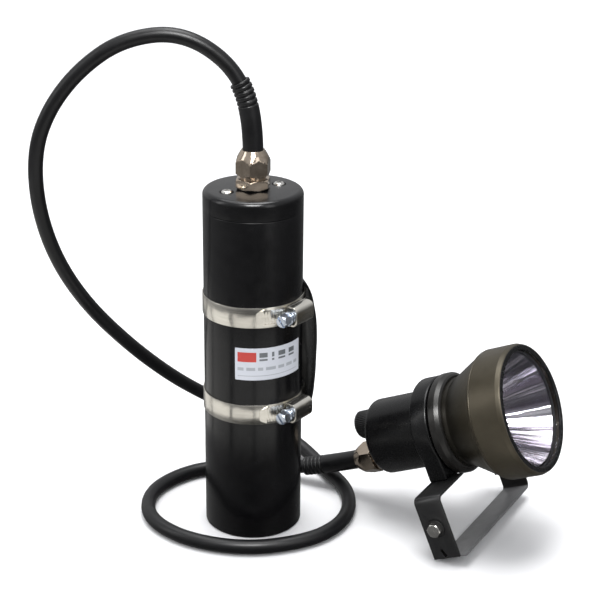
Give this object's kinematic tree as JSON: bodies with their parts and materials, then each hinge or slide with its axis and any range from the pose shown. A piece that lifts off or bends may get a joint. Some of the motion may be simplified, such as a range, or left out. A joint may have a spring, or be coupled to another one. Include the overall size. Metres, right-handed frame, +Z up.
{
  "type": "canister dive light",
  "caption": "Canister dive light: battery barrel with clamp bands and belt loop, rubber umbilical cord, and a reflector light head on an adjustable U-shaped hand mount.",
  "frame": {"origin": "centre of the canister's base, on the surface it stands on", "axes": "+Z up along the canister; the beam lies in a plane parallel to XZ, points to +X and is tilted 24 degrees up; +Y across the head, away from the label side"},
  "size_m": [0.3034, 0.1743, 0.3127],
  "materials": {
    "black_anodised": "satin black anodised",
    "bronze_anodised": "satin olive-brown anodised",
    "neck_black": "satin dark anodised",
    "nickel_brass": "nickel-plated, glossy",
    "stainless": "polished stainless",
    "zinc_steel": "bright zinc-plated",
    "black_steel": "satin black powder coat",
    "black_plastic": "glossy black",
    "knob_plastic": "matte black, knurled",
    "cord_rubber": "satin black rubber",
    "soft_rubber": "matte black rubber",
    "label_vinyl": "white printed vinyl",
    "glass": "clear tempered glass",
    "reflector_metal": "bright spun aluminium",
    "circuit_board": "green laminate",
    "emitter": "yellow phosphor under clear dome",
    "cell_wrap": "blue shrink wrap",
    "holder_plastic": "grey moulded plastic",
    "foam": "closed-cell foam",
    "bare_aluminium": "machined",
    "lead_wire": "silicone wire insulation"
  },
  "bodies": {
    "light": {"canister_body": "black_anodised", "canister_lid": "black_anodised", "lid_o_rings": "soft_rubber", "lid_screws": "stainless", "battery_cells": "cell_wrap", "cell_holders": "holder_plastic", "pack_rods": "bare_aluminium", "pack_nuts": "zinc_steel", "protection_board": "circuit_board", "base_foam_pad": "foam", "canister_leads": "lead_wire", "label": "label_vinyl", "belt_loop": "black_plastic", "upper_clamp_band": "stainless", "upper_clamp_housing": "stainless", "lower_clamp_band": "stainless", "lower_clamp_housing": "stainless", "cord": "cord_rubber", "canister_boot": "cord_rubber", "head_boot": "cord_rubber", "canister_cord_tail": "cord_rubber", "head_cord_tail": "cord_rubber", "canister_gland_body": "nickel_brass", "canister_gland_washer": "soft_rubber", "canister_gland_seal": "soft_rubber", "canister_gland_nut": "nickel_brass", "head_gland_body": "nickel_brass", "head_gland_washer": "soft_rubber", "head_gland_seal": "soft_rubber", "head_gland_nut": "nickel_brass", "lens_o_ring": "soft_rubber", "reflector": "reflector_metal", "neck_housing": "bronze_anodised", "neck_o_ring": "soft_rubber", "neck_ring": "neck_black", "heat_sink": "bare_aluminium", "led_board": "circuit_board", "led_emitter": "emitter", "driver_board": "circuit_board", "rear_body": "black_anodised", "collar": "black_anodised", "collar_screws": "stainless", "switch_o_ring": "soft_rubber", "micro_switch": "knob_plastic", "head_leads": "lead_wire", "handle_top_bracket": "black_steel", "handle_bolts": "stainless", "handle_outer_washers": "soft_rubber", "handle_nuts": "stainless"},
    "switch": {"switch_knob": "knob_plastic", "switch_shaft": "stainless", "switch_cam": "holder_plastic"},
    "upper_screw": {"upper_clamp_screw": "zinc_steel"},
    "lower_screw": {"lower_clamp_screw": "zinc_steel"},
    "lens_carrier": {"lens": "glass"},
    "bezel": {"bezel_ring": "bronze_anodised"},
    "palm_pivot": {"handle_inner_washers": "stainless"},
    "palm": {"handle_palm_bracket": "black_steel"}
  },
  "joints": [
    {"name": "switch_turn", "type": "hinge", "parent": "light", "child": "switch", "pos_m": [0.05115, 0.0594, 0.05235], "axis": [0.9135, 0, 0.4067], "range_deg": [0, 90]},
    {"name": "upper_clamp_turn", "type": "hinge", "parent": "light", "child": "upper_screw", "pos_m": [0.03474, -0.00426, 0.14775], "axis": [-0.1219, -0.9925, 0], "continuous": true},
    {"name": "lower_clamp_turn", "type": "hinge", "parent": "light", "child": "lower_screw", "pos_m": [0.03474, -0.00426, 0.08485], "axis": [-0.1219, -0.9925, 0], "continuous": true},
    {"name": "bezel_travel", "type": "slide", "parent": "light", "child": "lens_carrier", "axis": [0.9135, 0, 0.4067], "range_m": [0, 0.0045]},
    {"name": "bezel_turn", "type": "hinge", "parent": "lens_carrier", "child": "bezel", "pos_m": [0.15012, 0.0594, 0.08514], "axis": [0.9135, 0, 0.4067], "range_deg": [0, 1080]},
    {"name": "palm_tilt", "type": "hinge", "parent": "light", "child": "palm_pivot", "pos_m": [0.12454, 0.0594, 0.02285], "axis": [0, 1, 0], "range_deg": [-25, 25]},
    {"name": "palm_slide", "type": "slide", "parent": "palm_pivot", "child": "palm", "axis": [-0.4067, 0, 0.9135], "range_m": [0, 0.006]}
  ],
  "couplings": [
    {"joint": "bezel_turn", "follows": "bezel_travel", "rad_per_m": 4188.8}
  ]
}
